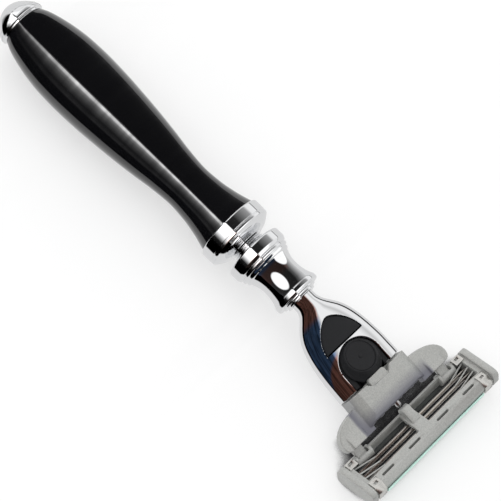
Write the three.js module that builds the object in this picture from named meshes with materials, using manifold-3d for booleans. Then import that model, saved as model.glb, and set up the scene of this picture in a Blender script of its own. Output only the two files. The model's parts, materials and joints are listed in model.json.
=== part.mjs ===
// Cartridge razor: turned resin handle, polished fittings, sprung head with a release
// button, and a three-blade pivoting cartridge.
// Millimetres. +X runs from the pommel to the cartridge, +Y along the blades, +Z towards
// the button side. The origin is the small flat at the pole of the pommel.
import * as THREE from 'three';
import { mergeVertices } from 'three/addons/utils/BufferGeometryUtils.js';
import Module from 'manifold-3d';

const wasm = await Module();
wasm.setup();

// ---- driving dimensions (mm, degrees) ----------------------------------------------
const GAP = 0.3; // clearance between neighbouring pieces
const SEG = 40; // facets round a turned piece

const CAP_LENGTH = 5.8; // pommel cap, butt to grip
const CAP_RADIUS = 6.0;
const CAP_FLAT_RADIUS = 1.6; // flat at the pole
const GRIP_END = 71.2; // grip meets the ferrule here
const GRIP_BULGE = 8.65; // largest radius, 24 mm from the butt
const GRIP_WAIST = 5.65; // smallest radius, 58.5 mm from the butt
const ROD_RADIUS = 2.0;
const ROD_BORE = 2.35;
const ROD_START = 3.2;
const ROD_END = 85.0;
const FERRULE_RADIUS = 8.4;
const FERRULE_END = 77.0;
const RING_END = 78.6; // end of the ringed spacer
const COLLAR_RADIUS = 7.2; // second, smaller collar
const BELL_RADIUS = 5.85; // lip of the baluster
const BALUSTER_END = 94.3;
const STUD_RADIUS = 1.6; // stud of the head in the baluster

const HEAD_X = 96; // origin of the head's own frame
const HEAD_DROOP = 11; // the head bends down towards the shaving side
const HEAD_END = 21.2; // length of the head in its own frame
const HEAD_TOP = 2.35;
const PAD_START = 4.65; // arched thumb pad
const PAD_END = 11.4;
const PAD_HALF = 5.5;
const PAD_POWER = 1.6; // roundness of the arch
const PAD_DEPTH = 0.4; // how far the pad sits below the polished skin
const BUTTON_U = 17.1;
const BUTTON_BASE = 4.85; // radii of the round button
const BUTTON_TOP = 3.95;
const BUTTON_HEIGHT = 1.65;
const BUTTON_LEAN = 1.2; // the top stands this far back from the skirt
const BUTTON_RISE = 0.7; // and is this much higher at its front edge
const WELL_FLOOR = 1.4;
const WELL_U = 17.3; // centre of the round end of the well
const WELL_RADIUS = 5.6;
const SHOULDER = 0.6; // top of the wide part of the chassis, under the polished skin

const DOCK_START = 21.5; // connector, in the head's frame
const DOCK_END = 29.0;
const DOCK_TOP = 3.5;
const TONGUE_TOP = 3.0; // rear tongue of the connector, in the front notch of the button
const TONGUE_HALF = 2.55;
const LOBE_REACH = 17.0; // half-span of the side lobes

const PLUNGER_W = 1.2; // height of the plunger's axis
const PLUNGER_RADIUS = 0.65;
const PLUNGER_TIP = 30.39;

const PIVOT_U = 32.54; // cartridge hinge axis, in the head's frame
const PIVOT_W = -0.06;
const LUG_RADIUS = 0.7; // round nose of each hinge lug
const LUG_Y0 = 12.5;
const LUG_Y1 = 15.2;
const CARTRIDGE_TILT = 33; // shaving plane to the head's axis, at rest
const BODY_HALF = 19.6; // half-length of the cartridge frame along Y
const FLANGE_HALF = 21.0; // half-length over the end flanges
const GUARD_EDGE = -0.6; // cartridge frame, measured from the hinge axis
const CAP_EDGE = 9.1;
const FACE = -2.1; // shaving side
const BACK = 1.4; // side with the rinse openings
const CAM_P = 0.4; // cam on the bridge, pressed by the plunger
const CAM_N = 2.1;
const CAM_RADIUS = 1.2;
const BLADE_POSITIONS = [2.3, 3.75, 5.2];
const BLADE_HALF = 17.9;

// ---- materials ---------------------------------------------------------------------
const look = (color, roughness, metalness) =>
  new THREE.MeshStandardMaterial({ color, roughness, metalness });
const CHROME = [0xd8dadd, 0.06, 1];
const RESIN = [0x0b0b0d, 0.12, 0];
const STEEL = [0xb4b6b8, 0.3, 1];
const BLACK = [0x1d1e20, 0.55, 0];
const GREY = [0x9b9d9f, 0.45, 0.3];
const RUBBER = [0x3c4140, 0.8, 0];
const MINT = [0xbfe0d2, 0.5, 0];
const FOIL = [0xd9d8d2, 0.3, 0.9];

// ---- helpers -----------------------------------------------------------------------
// A closed three.js geometry as a manifold solid.
function solid(geometry) {
  const bare = geometry.index ? geometry.toNonIndexed() : geometry.clone();
  for (const key of Object.keys(bare.attributes)) {
    if (key !== 'position') bare.deleteAttribute(key);
  }
  const merged = mergeVertices(bare, 1e-4);
  const keep = [];
  const index = merged.index.array;
  for (let i = 0; i < index.length; i += 3) {
    const [a, b, c] = [index[i], index[i + 1], index[i + 2]];
    if (a !== b && b !== c && c !== a) keep.push(a, b, c);
  }
  return new wasm.Manifold(new wasm.Mesh({
    numProp: 3,
    vertProperties: new Float32Array(merged.attributes.position.array),
    triVerts: new Uint32Array(keep),
  }));
}

// The solid back as a flat-shaded three.js geometry.
function skin(manifold) {
  const mesh = manifold.getMesh();
  const geometry = new THREE.BufferGeometry();
  geometry.setAttribute('position', new THREE.BufferAttribute(mesh.vertProperties, 3));
  geometry.setIndex(new THREE.BufferAttribute(mesh.triVerts, 1));
  geometry.computeVertexNormals();
  return geometry;
}

function piece(name, shape, finish) {
  const geometry = shape.isBufferGeometry ? shape : skin(shape);
  const mesh = new THREE.Mesh(geometry, look(...finish));
  mesh.name = name;
  return mesh;
}

// Turned round the X axis from a profile of [x, radius] pairs that starts and ends on the axis.
function turned(profile, segments = SEG) {
  const points = profile.map(([x, r]) => new THREE.Vector2(r, x));
  const geometry = new THREE.LatheGeometry(points, segments);
  return solid(geometry.rotateZ(-Math.PI / 2));
}

// Box from its low corner to its high corner.
function box(x0, x1, y0, y1, z0, z1) {
  const geometry = new THREE.BoxGeometry(x1 - x0, y1 - y0, z1 - z0);
  geometry.translate((x0 + x1) / 2, (y0 + y1) / 2, (z0 + z1) / 2);
  return solid(geometry);
}

// Round bar along X, Y or Z, from a to b on that axis.
function bar(axis, a, b, radius, cx, cy, cz, segments = 20, radiusB = radius) {
  const geometry = new THREE.CylinderGeometry(radiusB, radius, b - a, segments);
  geometry.translate(0, (a + b) / 2, 0);
  if (axis === 'x') geometry.rotateZ(-Math.PI / 2);
  if (axis === 'z') geometry.rotateX(Math.PI / 2);
  return solid(geometry.translate(cx, cy, cz));
}

// Plan outline in X and Y, raised from z0 to z1.
function plate(shape, z0, z1, curveSegments = 10) {
  const geometry = new THREE.ExtrudeGeometry(shape, {
    depth: z1 - z0, bevelEnabled: false, curveSegments,
  });
  return solid(geometry.translate(0, 0, z0));
}

// Side outline in X and Z, carried along Y from y0 to y1.
function rail(shape, y0, y1, curveSegments = 8) {
  const geometry = new THREE.ExtrudeGeometry(shape, {
    depth: y1 - y0, bevelEnabled: false, curveSegments,
  });
  return solid(geometry.rotateX(Math.PI / 2).translate(0, y1, 0));
}

function outline(points) {
  return new THREE.Shape(points.map(([x, y]) => new THREE.Vector2(x, y)));
}

function joined(first, ...rest) {
  return rest.reduce((sum, next) => sum.add(next), first);
}

function cut(first, ...tools) {
  return tools.reduce((left, tool) => left.subtract(tool), first);
}

// The solid moved by a three.js matrix, turned inside out again if the matrix mirrors it.
function moved(manifold, matrix) {
  const geometry = skin(manifold).applyMatrix4(matrix);
  if (matrix.determinant() < 0) {
    const index = geometry.index.array;
    for (let i = 0; i < index.length; i += 3) {
      [index[i + 1], index[i + 2]] = [index[i + 2], index[i + 1]];
    }
  }
  return solid(geometry);
}

function mirrored(manifold) {
  return moved(manifold, new THREE.Matrix4().makeScale(1, -1, 1));
}

// The solid and its mirror image across the X-Z plane.
function bothSides(manifold) {
  return manifold.add(mirrored(manifold));
}

// Coil spring along X: a wire swept along a helix.
function coil(x0, x1, radius, wire, turns, cy, cz) {
  const points = [];
  const steps = turns * 8;
  for (let i = 0; i <= steps; i += 1) {
    const angle = (i / steps) * turns * 2 * Math.PI;
    points.push(new THREE.Vector3(
      x0 + ((x1 - x0) * i) / steps,
      cy + radius * Math.cos(angle),
      cz + radius * Math.sin(angle),
    ));
  }
  const section = new THREE.Shape();
  section.absarc(0, 0, wire, 0, 2 * Math.PI);
  return solid(new THREE.ExtrudeGeometry(section, {
    steps, curveSegments: 3, bevelEnabled: false,
    extrudePath: new THREE.CatmullRomCurve3(points),
  }));
}

// ---- handle ------------------------------------------------------------------------
function pommelCap() {
  const dome = [[0, 0], [0, CAP_FLAT_RADIUS], [0.35, 2.4], [0.9, 3.3], [1.7, 4.15], [2.5, 4.85],
    [3.3, 5.45], [4.1, 5.85], [4.8, CAP_RADIUS], [5.3, 5.95], [CAP_LENGTH, 5.65], [CAP_LENGTH, 0]];
  return cut(turned(dome), bar('x', ROD_START - GAP, CAP_LENGTH + 1, ROD_BORE, 0, 0, 0));
}

// The turned outline is a smooth curve through the bulge and the waist.
function grip() {
  const curve = new THREE.SplineCurve([
    [CAP_LENGTH + 0.05, 5.6], [7.5, 6.3], [10.4, 7.15], [14.6, 8.0], [19, 8.5], [24, GRIP_BULGE],
    [30, 8.47], [36, 8.05], [42, 7.5], [48, 6.78], [53, 6.08], [58.5, GRIP_WAIST], [63, 5.95],
    [67, 6.65], [GRIP_END, 7.75],
  ].map(([x, r]) => new THREE.Vector2(x, r)));
  const side = curve.getPoints(24).map((p) => [p.x, p.y]);
  side[side.length - 1][0] = GRIP_END;
  const body = turned([[side[0][0], 0], ...side, [GRIP_END, 0]]);
  return cut(body, bar('x', 0, GRIP_END + 1, ROD_BORE, 0, 0, 0));
}

function tieRod() {
  const thread = 0.25;
  return turned([[ROD_START, 0], [ROD_START, ROD_RADIUS - thread], [ROD_START + 0.4, ROD_RADIUS],
    [11, ROD_RADIUS], [11.3, ROD_RADIUS - thread], [70, ROD_RADIUS - thread],
    [70.3, ROD_RADIUS], [ROD_END - 0.4, ROD_RADIUS], [ROD_END, ROD_RADIUS - thread],
    [ROD_END, 0]], 20);
}

function ferruleCollar() {
  const start = GRIP_END + 0.05;
  const r = FERRULE_RADIUS;
  const body = turned([[start, 0], [start, r - 0.35], [start + 0.35, r], [74.1, r], [74.25, r - 0.2],
    [74.4, r - 0.2], [74.55, r], [75.0, r - 0.1], [75.25, r - 0.4], [75.9, 7.35], [76.5, 6.5],
    [FERRULE_END, 5.5], [FERRULE_END, 0]]);
  return cut(body, bar('x', start - 1, FERRULE_END + 1, ROD_BORE, 0, 0, 0));
}

function ringSpacer() {
  const a = FERRULE_END + 0.05;
  const body = turned([[a, 0], [a, 3.7], [a + 0.25, 4.1], [a + 0.5, 3.7], [a + 0.65, 3.5],
    [a + 0.8, 3.7], [a + 1.05, 4.1], [a + 1.3, 3.7], [RING_END, 3.6], [RING_END, 0]], 32);
  return cut(body, bar('x', a - 1, RING_END + 1, ROD_BORE, 0, 0, 0));
}

// Second collar, two beads, waist, bell lip and stepped front rings in one turned piece.
function neckBaluster() {
  const a = RING_END + 0.05;
  const r = COLLAR_RADIUS;
  const body = turned([[a, 0], [a, 6.7], [a + 0.3, 7.1], [a + 0.7, r], [81.4, r], [81.9, 7.0],
    [82.3, 6.6], [82.5, 6.35], [82.9, 6.3], [83.3, 6.1], [83.5, 5.75], [84.0, 5.7], [84.5, 5.45],
    [85.2, 5.15], [86.2, 4.9], [87.6, 4.8], [89.0, 4.9], [90.4, 5.15], [91.4, 5.5],
    [92.0, BELL_RADIUS - 0.1], [92.4, BELL_RADIUS], [93.0, BELL_RADIUS], [93.3, 5.6], [93.4, 4.6],
    [93.75, 4.5], [93.8, 3.9], [BALUSTER_END, 3.8], [BALUSTER_END, 0]]);
  return cut(body,
    bar('x', a - 1, ROD_END + GAP, ROD_BORE, 0, 0, 0),
    bar('x', 88.2, BALUSTER_END + 1, STUD_RADIUS + GAP, 0, 0, 0));
}

// ---- head, in its own frame (x along the head, z up through the button) ---------------
// Stations along the head: x, centre height, half-width, half-height, squareness, lean.
const HEAD_STATIONS = [
  [-1.62, -0.31, 2.9, 2.9, 2.0, 11],
  [-0.4, -0.1, 2.9, 2.9, 2.0, 8],
  [0.8, -0.02, 3.3, 3.05, 2.05, 5],
  [2.0, -0.15, 4.2, 3.2, 2.1, 2],
  [3.2, -0.4, 5.25, 3.25, 2.2, 0],
  [4.6, -0.65, 6.3, 3.3, 2.3, 0],
  [6.2, -0.85, 7.15, 3.35, 2.4, 0],
  [8.2, -0.95, 7.85, 3.37, 2.5, 0],
  [10.6, -1.0, 8.4, 3.37, 2.6, 0],
  [13.4, -1.02, 8.8, 3.37, 2.7, 0],
  [16.4, -1.02, 9.05, 3.37, 2.8, 0],
  [19.2, -1.02, 9.15, 3.37, 2.8, 0],
  [HEAD_END, -1.02, 9.2, 3.37, 2.8, 0],
];

// Superellipse ring of the head at one station.
function headRing([x, z, b, h, n, lean], count) {
  const ring = [];
  const tilt = THREE.MathUtils.degToRad(lean);
  for (let i = 0; i < count; i += 1) {
    const angle = (i / count) * 2 * Math.PI;
    const [c, s] = [Math.cos(angle), Math.sin(angle)];
    const y = b * Math.sign(c) * Math.abs(c) ** (2 / n);
    const up = h * Math.sign(s) * Math.abs(s) ** (2 / n);
    ring.push(new THREE.Vector3(x - up * Math.sin(tilt), y, z + up * Math.cos(tilt)));
  }
  return ring;
}

// Closed skin over a row of rings with the same number of points.
function loft(rings) {
  const count = rings[0].length;
  const position = [];
  const index = [];
  for (const ring of rings) for (const p of ring) position.push(p.x, p.y, p.z);
  for (let r = 0; r + 1 < rings.length; r += 1) {
    for (let i = 0; i < count; i += 1) {
      const j = (i + 1) % count;
      const [a, b] = [r * count + i, r * count + j];
      index.push(a, b, b + count, a, b + count, a + count);
    }
  }
  for (const [r, flip] of [[0, true], [rings.length - 1, false]]) {
    const middle = new THREE.Vector3();
    for (const p of rings[r]) middle.addScaledVector(p, 1 / count);
    const hub = position.length / 3;
    position.push(middle.x, middle.y, middle.z);
    for (let i = 0; i < count; i += 1) {
      const [a, b] = [r * count + i, r * count + ((i + 1) % count)];
      index.push(...(flip ? [hub, b, a] : [hub, a, b]));
    }
  }
  const geometry = new THREE.BufferGeometry();
  geometry.setAttribute('position', new THREE.Float32BufferAttribute(position, 3));
  geometry.setIndex(index);
  return solid(geometry);
}

// Outline of the thumb pad: straight towards the button, arched towards the neck.
function padOutline(inset) {
  const [start, end, half] = [PAD_START + inset, PAD_END - inset, PAD_HALF - inset];
  const points = [];
  for (let i = 0; i <= 28; i += 1) {
    const angle = (i / 28 - 0.5) * Math.PI;
    const [c, s] = [Math.cos(angle), Math.sin(angle)];
    points.push([end - (end - start) * Math.abs(c) ** (2 / PAD_POWER),
      -half * Math.sign(s) * Math.abs(s) ** (2 / PAD_POWER)]);
  }
  return outline(points);
}

// Well round the button: half circle at the rear, open towards the cartridge.
function wellOutline(inset, open) {
  const r = WELL_RADIUS - inset;
  const shape = new THREE.Shape();
  shape.moveTo(open, -r);
  shape.lineTo(open, r);
  shape.lineTo(WELL_U, r);
  shape.absarc(WELL_U, 0, r, Math.PI / 2, 1.5 * Math.PI, false);
  shape.lineTo(open, -r);
  return shape;
}

const SCREW_U = 20.0; // screw under the head, along the head's axis

function headShell() {
  const body = loft(HEAD_STATIONS.map((station) => headRing(station, 40)));
  const intoHead = new THREE.Matrix4()
    .makeRotationY(-THREE.MathUtils.degToRad(HEAD_DROOP))
    .multiply(new THREE.Matrix4().makeTranslation(-HEAD_X, 0, 0));
  const stud = moved(bar('x', 88.5, 95.2, STUD_RADIUS, 0, 0, 0), intoHead);
  return cut(joined(body, stud),
    plate(padOutline(0), HEAD_TOP - PAD_DEPTH - 0.6, HEAD_TOP + 1),
    plate(wellOutline(0, HEAD_END + 1), 0, HEAD_TOP + 1, 12),
    box(11.1, HEAD_END + 1, -6.6, 6.6, -2.7, SHOULDER + GAP),
    bar('z', -6, -2, 0.95, SCREW_U, 0, 0, 16),
    bar('z', -6, -3.4, 1.7, SCREW_U, 0, 0, 16));
}

function thumbPad() {
  const top = HEAD_TOP - PAD_DEPTH;
  return plate(padOutline(GAP / 2), top - 0.5, top);
}

// Black moulded chassis: floor of the well, docking nose, and the channels under the floor
// in which the ejector, its spring and the plunger work.
const FORK_ARM = 3.4; // arms of the ejector, either side of the middle
const STEM_HALF = 1.2; // half-length of the button's stems
const STROKE = 3.0; // travel of the button
const NOSE_HALF = 4.6; // docking nose
const NOSE_TOP = 0.7;
const BOSS_HALF = 1.3; // boss along the nose, round the plunger
const BOSS_TOP = 2.45;
const BOSS_START = 19.8;

function chassisInsert() {
  const body = joined(
    box(11.4, HEAD_END - 0.15, -6.3, 6.3, -2.4, SHOULDER),
    plate(wellOutline(GAP, HEAD_END - 0.15), 0, WELL_FLOOR, 12),
    box(HEAD_END - 1, 27.0, -NOSE_HALF, NOSE_HALF, -1.6, NOSE_TOP),
    box(BOSS_START, 27.0, -BOSS_HALF, BOSS_HALF, 0.5, BOSS_TOP));
  const armChannel = box(12.0, 28, FORK_ARM - 0.85, FORK_ARM + 0.85, -1.3, 0.1);
  const stemSlot = box(BUTTON_U - STEM_HALF - GAP, BUTTON_U + STEM_HALF + STROKE + GAP,
    FORK_ARM - 0.7, FORK_ARM + 0.7, -0.1, WELL_FLOOR + 1);
  return cut(body,
    bothSides(armChannel), bothSides(stemSlot),
    box(12.0, 14.0 + STROKE, -4.25, 4.25, -1.3, 0.1),
    box(13.5, 19.0, -1.0, 1.0, -1.5, 0.1),
    bar('x', BOSS_START + 0.6, 26.2, 1.05, 0, 0, PLUNGER_W, 20),
    bar('x', 26.0, 28, PLUNGER_RADIUS + 0.17, 0, 0, PLUNGER_W, 20),
    bar('z', -3, -0.6, 0.95, SCREW_U, 0, 0, 16));
}

// Flat screw driver slot across a countersunk head.
function insertScrew() {
  const shank = bar('z', -4.2, -0.8, 0.75, SCREW_U, 0, 0, 16);
  const head = bar('z', -4.15, -3.45, 1.45, SCREW_U, 0, 0, 24);
  return cut(joined(shank, head), box(SCREW_U - 2, SCREW_U + 2, -0.2, 0.2, -5, -3.85));
}

// Round push button: broad skirt, drafted wall, leaning top with a rim line and a small nub.
// Its front is notched for the connector's tongue, and it is hollow underneath over the boss.
function releaseButton() {
  const z = WELL_FLOOR + 0.25;
  const top = z + BUTTON_HEIGHT;
  const [b, t] = [BUTTON_BASE, BUTTON_TOP];
  const profile = [[z, 0], [z, b - 0.1], [z + 0.1, b], [z + 0.45, b], [z + 0.55, b - 0.2],
    [z + 0.7, b - 0.4], [top - 0.25, t], [top - 0.08, t - 0.1], [top, t - 0.35], [top, t - 0.6],
    [top - 0.12, t - 0.7], [top - 0.12, 0.45], [top, 0.4], [top, 0]];
  const points = profile.map(([h, r]) => new THREE.Vector2(r, h));
  const lathe = new THREE.LatheGeometry(points, 40).rotateX(Math.PI / 2);
  const corner = lathe.attributes.position;
  for (let i = 0; i < corner.count; i += 1) {
    const [x, h] = [corner.getX(i), corner.getZ(i)];
    const share = (h - z) / BUTTON_HEIGHT;
    corner.setX(i, BUTTON_U + x - BUTTON_LEAN * share);
    corner.setZ(i, h + BUTTON_RISE * (x / t) * share);
  }
  const stem = box(BUTTON_U - STEM_HALF, BUTTON_U + STEM_HALF, FORK_ARM - 0.4, FORK_ARM + 0.4,
    -0.1, z + 0.3);
  const frontNotch = box(BUTTON_U + 3.75, BUTTON_U + 6, -TONGUE_HALF - 0.2, TONGUE_HALF + 0.2,
    z - 0.1, top + 2);
  const hollow = box(BUTTON_U - 0.4, BUTTON_U + 6, -BOSS_HALF - GAP, BOSS_HALF + GAP,
    z - 0.1, BOSS_TOP + 0.2);
  return cut(joined(solid(lathe), bothSides(stem)), frontNotch, hollow);
}

// Two-armed ejector under the floor; the stems of the button stand on its arms.
function ejectorFork() {
  const arm = box(12.3, 27.0, FORK_ARM - 0.55, FORK_ARM + 0.55, -1.0, -0.2);
  return joined(box(12.3, 13.6, -3.9, 3.9, -1.0, -0.2), bothSides(arm));
}

function buttonSpring() {
  return coil(13.9, 18.7, 0.45, 0.11, 6, 0, -0.6);
}

function plunger() {
  const w = PLUNGER_W;
  const r = PLUNGER_RADIUS;
  const tip = PLUNGER_TIP;
  const profile = [[24.0, 0], [24.0, 0.9], [24.6, 0.9], [24.6, r], [tip - r, r],
    [tip - 0.62 * r, 0.92 * r], [tip - 0.29 * r, 0.71 * r], [tip - 0.08 * r, 0.38 * r], [tip, 0]];
  return moved(turned(profile, 24), new THREE.Matrix4().makeTranslation(0, 0, w));
}

function plungerSpring() {
  return coil(20.65, 23.8, 0.6, 0.12, 4, 0, PLUNGER_W);
}

// ---- connector: docks on the nose, carries the cartridge on two lugs -------------------
// Underside rises towards the front so that it stays clear of the skin.
function connector() {
  const side = outline([[DOCK_START, -3.6], [26.5, -2.7], [DOCK_END - 0.4, -1.5],
    [DOCK_END, -0.9], [DOCK_END, DOCK_TOP - 1.1], [DOCK_END - 0.5, DOCK_TOP - 0.35],
    [DOCK_END - 1.4, DOCK_TOP], [DOCK_START, DOCK_TOP]]);
  const plan = new THREE.Shape();
  plan.moveTo(DOCK_START, -8.75);
  plan.bezierCurveTo(24, -8.75, 26, -9.0, DOCK_END, -9.7);
  plan.lineTo(DOCK_END, 9.7);
  plan.bezierCurveTo(26, 9.0, 24, 8.75, DOCK_START, 8.75);
  const section = headRing([0, -0.1, 9.4, 3.95, 3.4, 0], 36);
  const sleeve = loft([section, section.map((p) => p.clone().setX(40))]);
  const sides = joined(plate(plan, -5, 5), box(DOCK_END - 0.8, DOCK_END, -9.7, 9.7, -2, 2));
  const hull = rail(side, -10, 10).intersect(sides).intersect(sleeve);

  const lobe = new THREE.Shape();
  lobe.moveTo(DOCK_END + 1.0, 8.0);
  lobe.lineTo(DOCK_END + 1.0, 15.8);
  lobe.bezierCurveTo(DOCK_END + 0.6, LOBE_REACH, 28.2, LOBE_REACH, 27.0, LOBE_REACH - 0.3);
  lobe.bezierCurveTo(24.6, 15.6, 23.6, 12.6, 23.6, 8.0);
  const wing = plate(lobe, 0.0, 2.2, 8);
  const wedge = rail(outline([[26.2, 2.1], [DOCK_END + 0.9, 2.1], [DOCK_END + 0.9, 2.75]]),
    10.6, 15.0);
  const lug = joined(
    box(DOCK_END + 0.5, PIVOT_U, LUG_Y0, LUG_Y1, PIVOT_W - 0.45, PIVOT_W + 0.45),
    bar('y', LUG_Y0, LUG_Y1, LUG_RADIUS, PIVOT_U, 0, PIVOT_W, 20),
    box(DOCK_END, DOCK_END + 1.0, LUG_Y0, LUG_Y1, PIVOT_W - 0.45, 1.0));
  const wings = bothSides(joined(wing, wedge, lug));

  // The octagonal notch clears the button's skirt; a tongue is left standing in its middle.
  const notchRadius = 6.2;
  const octagon = outline([...Array(8).keys()].map((i) => {
    const angle = Math.PI / 8 + (i * Math.PI) / 4;
    return [WELL_U - 0.2 + notchRadius * Math.cos(angle), notchRadius * Math.sin(angle)];
  }));
  const tongueShape = outline([[23.5, -TONGUE_HALF], [23.5, TONGUE_HALF],
    [21.5, TONGUE_HALF], [21.0, TONGUE_HALF - 0.3], [20.9, TONGUE_HALF - 0.7],
    [20.9, 0.7 - TONGUE_HALF], [21.0, 0.3 - TONGUE_HALF], [21.5, -TONGUE_HALF]]);
  const tongue = plate(tongueShape, WELL_FLOOR + 0.25, TONGUE_TOP);
  const notch = plate(octagon, WELL_FLOOR, DOCK_TOP + 2);
  const window = box(DOCK_END - 1.3, DOCK_END + 1, 1.5, 4.4, 1.0, 2.8);
  const outerWindow = box(DOCK_END - 0.7, DOCK_END + 1, 5.4, 7.4, 0.8, 2.6);
  const body = cut(joined(cut(joined(hull, wings), notch), tongue),
    box(DOCK_START - 1, 27.4, -NOSE_HALF - 0.3, NOSE_HALF + 0.3, -1.9, NOSE_TOP + 0.2),
    box(DOCK_START - 1, 27.4, -BOSS_HALF - GAP, BOSS_HALF + GAP, 0, BOSS_TOP + 0.2),
    box(27, DOCK_END + 1, -1.1, 1.1, -0.4, BOSS_TOP + 0.2),
    bothSides(window), bothSides(outerWindow));
  const blocks = joined(
    box(DOCK_END - 1.5, DOCK_END - 0.2, 2.1, 3.9, 1.5, 2.6),
    box(DOCK_END - 0.9, DOCK_END - 0.15, 5.9, 6.9, 1.3, 2.3));
  return joined(body, bothSides(blocks));
}

// ---- cartridge, in its own frame (x from guard to cap, y along the blades, z to the back,
// origin on the hinge axis) ---------------------------------------------------------------
function flangeOutline(grow) {
  const shape = new THREE.Shape();
  const [a, b] = [GUARD_EDGE - 0.5 - grow, CAP_EDGE + 0.35 + grow];
  const [f, t] = [FACE - 0.25 - grow, BACK + 0.75 + grow];
  shape.moveTo(a + 1.2, f);
  shape.lineTo(b - 1.3, f);
  shape.quadraticCurveTo(b, f, b, f + 1.4);
  shape.lineTo(b, t - 1.6);
  shape.quadraticCurveTo(b, t, b - 1.8, t);
  shape.lineTo(a + 1.6, t);
  shape.quadraticCurveTo(a, t, a, t - 1.6);
  shape.lineTo(a, f + 1.2);
  shape.quadraticCurveTo(a, f, a + 1.2, f);
  return shape;
}

// Cross-section of the frame, grown outwards all round.
function frameOutline(grow) {
  const [a, b, f, t] = [GUARD_EDGE - grow, CAP_EDGE + grow, FACE - grow, BACK + grow];
  return outline([[a, f + 0.3], [a + 0.3, f], [8.0, f], [b, f + 0.8], [b, t - 1.1],
    [7.9, t], [a + 0.3, t], [a, t - 0.3]]);
}

// Springy finger in the plane of the opening, from the end of the frame inwards.
function finger(p0, p1) {
  const shape = outline([[p0, 18.6], [p0 + 0.35, 18.6], [p1 + 0.25, 12.6], [p1, 12.6]]);
  return plate(shape, 0.55, 0.8);
}

function cartridgeHousing() {
  const body = rail(frameOutline(0), -BODY_HALF, BODY_HALF);
  const flange = rail(flangeOutline(0), BODY_HALF - 0.2, FLANGE_HALF);
  const opening = box(0, 5.8, 1.7, BLADE_HALF + 0.3, FACE - 1, BACK + 1);
  const underBridge = box(0, 5.8, -2, 2, FACE - 1, 0.55);
  const stripSeat = box(6.15, 10, -16.3, 16.3, FACE - 1, FACE + 0.8);
  const slot = (y) => joined(box(6.75, 7.35, y - 1.6, y + 1.6, -0.6, BACK + 1),
    bar('z', -0.6, BACK + 1, 0.3, 7.05, y - 1.6, 0, 12),
    bar('z', -0.6, BACK + 1, 0.3, 7.05, y + 1.6, 0, 12));

  // Hinge: a boss round each lug pocket, its socket open to the back and the rear.
  const boss = bar('y', LUG_Y0 - 1, LUG_Y1 + 1, 1.4, 0, 0, 0, 28);
  const throat = rail(outline([[0, -0.2], [-4, -0.3], [-4, 4], [1.3, 4], [0.2, 0]]),
    LUG_Y0 - GAP, LUG_Y1 + GAP);
  const socket = bar('y', LUG_Y0 - GAP, LUG_Y1 + GAP, 0.98, 0, 0, 0, 24);

  const cam = bar('y', -1.1, 1.1, CAM_RADIUS, CAM_P, 0, CAM_N, 24);
  const camRoot = rail(outline([[0.4, 1.1], [3.8, 1.1], [3.6, 1.6], [1.2, 3.0], [0.4, 3.2]]),
    -1.1, 1.1);
  const fingers = joined(finger(0.9, 2.4), finger(2.6, 3.9), finger(4.2, 5.3));

  let housing = cut(joined(body, bothSides(flange)), bothSides(opening), underBridge, stripSeat);
  housing = cut(joined(housing, bothSides(boss)), bothSides(throat), bothSides(socket));
  housing = joined(housing, cam, camRoot, bothSides(fingers));
  return cut(housing, ...[-13.4, -4.7, 4.7, 13.4].map(slot));
}

// Soft strip with fine fins on the shaving side, in front of the first blade.
function guardStrip() {
  const base = box(0.1, 0.95, -17.9, 17.9, FACE + 0.25, FACE + 0.65);
  const fins = [0.1, 0.4, 0.7].map((p) =>
    box(p, p + 0.2, -16.2, 16.2, FACE - 0.1, FACE + 0.3));
  return joined(base, ...fins);
}

function lubeStrip() {
  return rail(outline([[6.3, FACE - 0.25], [8.9, FACE - 0.2], [9.45, FACE + 0.35],
    [9.5, FACE + 1.1], [9.15, FACE + 1.1], [9.15, FACE + 0.65], [6.3, FACE + 0.65]]),
  -16.1, 16.1);
}

// Bent support: an upright leg and a ledge that slopes to the shaving plane.
function bladeSupport(p) {
  return rail(outline([[p - 0.12, 0.1], [p - 0.12, -1.05], [p - 0.85, -1.37], [p - 0.77, -1.56],
    [p + 0.12, -1.17], [p + 0.12, 0.1]]), -BLADE_HALF, BLADE_HALF);
}

// Strip on the underside of the ledge, ground to an edge.
function blade(p) {
  return rail(outline([[p - 0.1, -1.32], [p - 0.12, -1.45], [p - 1.05, -1.88], [p - 1.18, -2.0],
    [p - 1.02, -1.74]]), -BLADE_HALF, BLADE_HALF);
}

// Soft metal strap folded round the end of the frame, open over the rinse opening.
function clip() {
  const [y0, y1] = [16.5, 18.9];
  return cut(rail(frameOutline(0.3), y0, y1),
    rail(frameOutline(0.04), y0 - 1, y1 + 1),
    box(1.2, 6.2, y0 - 1, y1 + 1, 0, BACK + 1),
    box(-0.35, 0.25, y0 + 0.7, y1 - 0.7, BACK - 0.5, BACK + 1),
    box(7.0, 7.6, y0 + 0.7, y1 - 0.7, BACK - 0.5, BACK + 1));
}

// ---- assembly ------------------------------------------------------------------------
const razor = new THREE.Group();
razor.add(
  piece('pommel_cap', pommelCap(), CHROME),
  piece('grip', grip(), RESIN),
  piece('tie_rod', tieRod(), STEEL),
  piece('ferrule_collar', ferruleCollar(), CHROME),
  piece('ring_spacer', ringSpacer(), CHROME),
  piece('neck_baluster', neckBaluster(), CHROME),
);

const head = new THREE.Group();
head.position.x = HEAD_X;
head.rotation.y = THREE.MathUtils.degToRad(HEAD_DROOP);
head.add(
  piece('head_shell', headShell(), CHROME),
  piece('thumb_pad', thumbPad(), BLACK),
  piece('chassis_insert', chassisInsert(), BLACK),
  piece('insert_screw', insertScrew(), STEEL),
  piece('release_button', releaseButton(), BLACK),
  piece('ejector_fork', ejectorFork(), BLACK),
  piece('button_spring', buttonSpring(), STEEL),
  piece('plunger', plunger(), STEEL),
  piece('plunger_spring', plungerSpring(), STEEL),
  piece('connector', connector(), GREY),
);
razor.add(head);

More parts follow.
